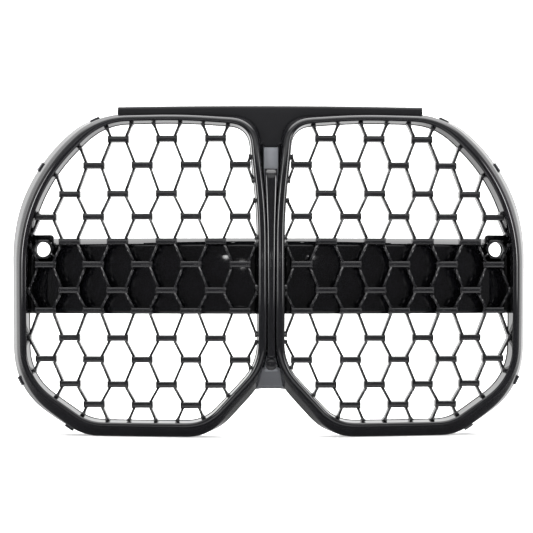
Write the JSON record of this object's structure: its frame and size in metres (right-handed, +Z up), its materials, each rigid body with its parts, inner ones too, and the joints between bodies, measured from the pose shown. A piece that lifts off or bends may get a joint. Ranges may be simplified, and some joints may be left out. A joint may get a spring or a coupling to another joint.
{
  "type": "car front grille",
  "caption": "Twin-opening car front grille with a honeycomb mesh in each surround, a centre spine, a top cover and two sensor holders.",
  "frame": {"origin": "middle of the width and of the depth, at the lowest edge of the surrounds", "axes": "+X to the right as seen from the front, -Y out of the front, +Z up"},
  "size_m": [0.7418, 0.1254, 0.4684],
  "materials": {
    "gloss_black": "high gloss black",
    "mesh_black": "gloss black, moulded",
    "band_black": "high gloss black",
    "satin_black": "satin black",
    "spine_grey": "satin dark grey",
    "matte_black": "fine-grain matte black",
    "spring_steel": "phosphated spring steel",
    "screw_steel": "dark zinc plate"
  },
  "bodies": {
    "root": {"left_surround": "gloss_black", "right_surround": "gloss_black", "left_mesh": "mesh_black", "right_mesh": "mesh_black", "left_band": "band_black", "right_band": "band_black", "left_sensor_holder": "matte_black", "right_sensor_holder": "matte_black", "top_cover": "satin_black", "spine_base": "spine_grey", "spine_trim": "gloss_black", "camera_blank": "gloss_black", "blank_retainer": "spring_steel", "lower_bridge": "satin_black", "left_edge_clips": "spring_steel", "right_edge_clips": "spring_steel", "mesh_screws": "screw_steel", "band_screws": "screw_steel", "holder_screws": "screw_steel", "cover_screws": "screw_steel", "cover_nuts": "spring_steel", "spine_screws": "screw_steel", "bridge_screws": "screw_steel"}
  },
  "joints": []
}
